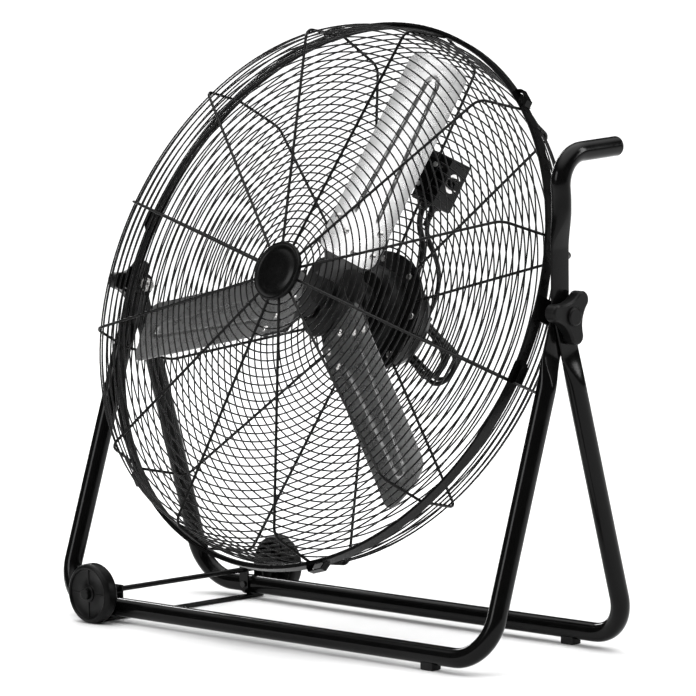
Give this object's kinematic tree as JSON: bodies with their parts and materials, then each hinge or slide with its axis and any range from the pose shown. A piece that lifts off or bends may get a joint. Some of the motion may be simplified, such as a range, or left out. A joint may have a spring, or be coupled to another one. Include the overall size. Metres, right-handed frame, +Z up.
{
  "type": "tilting floor drum fan",
  "caption": "High-velocity floor fan: round wire-guarded head with metal blades, tilting between the legs of a wheeled tubular A-frame with a bent-back carrying handle.",
  "frame": {"origin": "on the floor, under the middle of the object's plan outline", "axes": "+X across the fan from the wheels' end to the handle's end, -Y the way the fan blows, +Z up"},
  "size_m": [0.9262, 0.449, 0.8908],
  "materials": {
    "black_tube": "gloss black powder coat",
    "black_wire": "semi-gloss black powder coat",
    "black_plastic": "moulded, fine grain",
    "gloss_black_plastic": "smooth moulded",
    "rubber": "matte",
    "blade_metal": "satin rolled sheet",
    "zinc": "bright zinc plate",
    "dark_steel": "oiled steel",
    "motor_paint": "satin black enamel",
    "copper": "enamelled winding wire",
    "lamination": "stacked laminations",
    "cord_jacket": "matte vinyl jacket",
    "nylon": "nylon",
    "capacitor_white": "potted case",
    "brass": "plated contact"
  },
  "bodies": {
    "frame": {"front_frame_tube": "black_tube", "rear_frame_tube": "black_tube", "handle_end_cap": "black_plastic", "front_rubber_foot": "rubber", "rear_rubber_foot": "rubber", "wheel_axle": "black_tube", "front_axle_strap": "black_tube", "rear_axle_strap": "black_tube", "axle_tie_bar": "black_tube", "strap_screws": "dark_steel", "axle_end_caps": "black_plastic", "pivot_washers": "zinc"},
    "head": {"guard_clamp_ring": "black_wire", "left_pivot_bracket": "black_tube", "right_pivot_bracket": "black_tube", "left_pivot_bolt": "zinc", "right_pivot_bolt": "zinc", "left_pivot_nut": "zinc", "right_pivot_boss": "black_tube", "guard_clips": "black_tube", "front_guard": "black_wire", "rear_guard": "black_wire", "guard_centre_cap": "gloss_black_plastic", "centre_cap_backing": "black_plastic", "motor_mount_plate": "motor_paint", "motor_rear_housing": "motor_paint", "motor_front_housing": "motor_paint", "motor_stator": "lamination", "motor_windings": "copper", "motor_bearings": "dark_steel", "motor_mount_screws": "zinc", "switch_box": "black_plastic", "switch_box_lid": "black_plastic", "speed_dial_plate": "zinc", "rotary_switch": "nylon", "run_capacitor": "capacitor_white", "box_clamp_plate": "black_tube", "switch_box_screws": "zinc", "lead_gland": "nylon", "cord_strain_relief": "nylon", "motor_lead": "cord_jacket", "cord_hank": "cord_jacket", "power_cord": "cord_jacket", "cord_tail": "cord_jacket", "plug_body": "black_plastic", "plug_pins": "brass", "hank_tie": "nylon"},
    "rotor": {"motor_shaft": "dark_steel", "rotor_core": "lamination", "blade_spider": "dark_steel", "blade_hub": "dark_steel", "blade_1": "blade_metal", "blade_2": "blade_metal", "blade_3": "blade_metal", "blade_rivets": "zinc"},
    "front_wheel": {"front_wheel": "black_plastic"},
    "rear_wheel": {"rear_wheel": "black_plastic"},
    "left_knob": {"left_tilt_knob": "black_plastic"},
    "right_knob": {"right_tilt_knob": "black_plastic"},
    "speed_knob": {"speed_knob": "gloss_black_plastic"}
  },
  "joints": [
    {"name": "head_tilt", "type": "hinge", "parent": "frame", "child": "head", "pos_m": [0, 0.0126, 0.49], "axis": [1, 0, 0], "range_deg": [-68.5, 61.5]},
    {"name": "blade_spin", "type": "hinge", "parent": "head", "child": "rotor", "pos_m": [0, 0.0126, 0.49], "axis": [0, -0.9304, 0.3665], "continuous": true},
    {"name": "front_wheel_roll", "type": "hinge", "parent": "frame", "child": "front_wheel", "pos_m": [-0.332, -0.1809, 0.045], "axis": [0, 1, 0], "continuous": true},
    {"name": "rear_wheel_roll", "type": "hinge", "parent": "frame", "child": "rear_wheel", "pos_m": [-0.332, 0.2061, 0.045], "axis": [0, 1, 0], "continuous": true},
    {"name": "left_knob_loosen", "type": "hinge", "parent": "head", "child": "left_knob", "pos_m": [-0.4386, 0.0126, 0.49], "axis": [-1, 0, 0], "range_deg": [0, 180]},
    {"name": "right_knob_loosen", "type": "hinge", "parent": "head", "child": "right_knob", "pos_m": [0.4386, 0.0126, 0.49], "axis": [1, 0, 0], "range_deg": [0, 180]},
    {"name": "speed_knob_turn", "type": "hinge", "parent": "head", "child": "speed_knob", "pos_m": [0.0809, 0.16882, 0.6533], "axis": [0.9659, -0.0949, -0.2408], "range_deg": [-135, 0]}
  ]
}
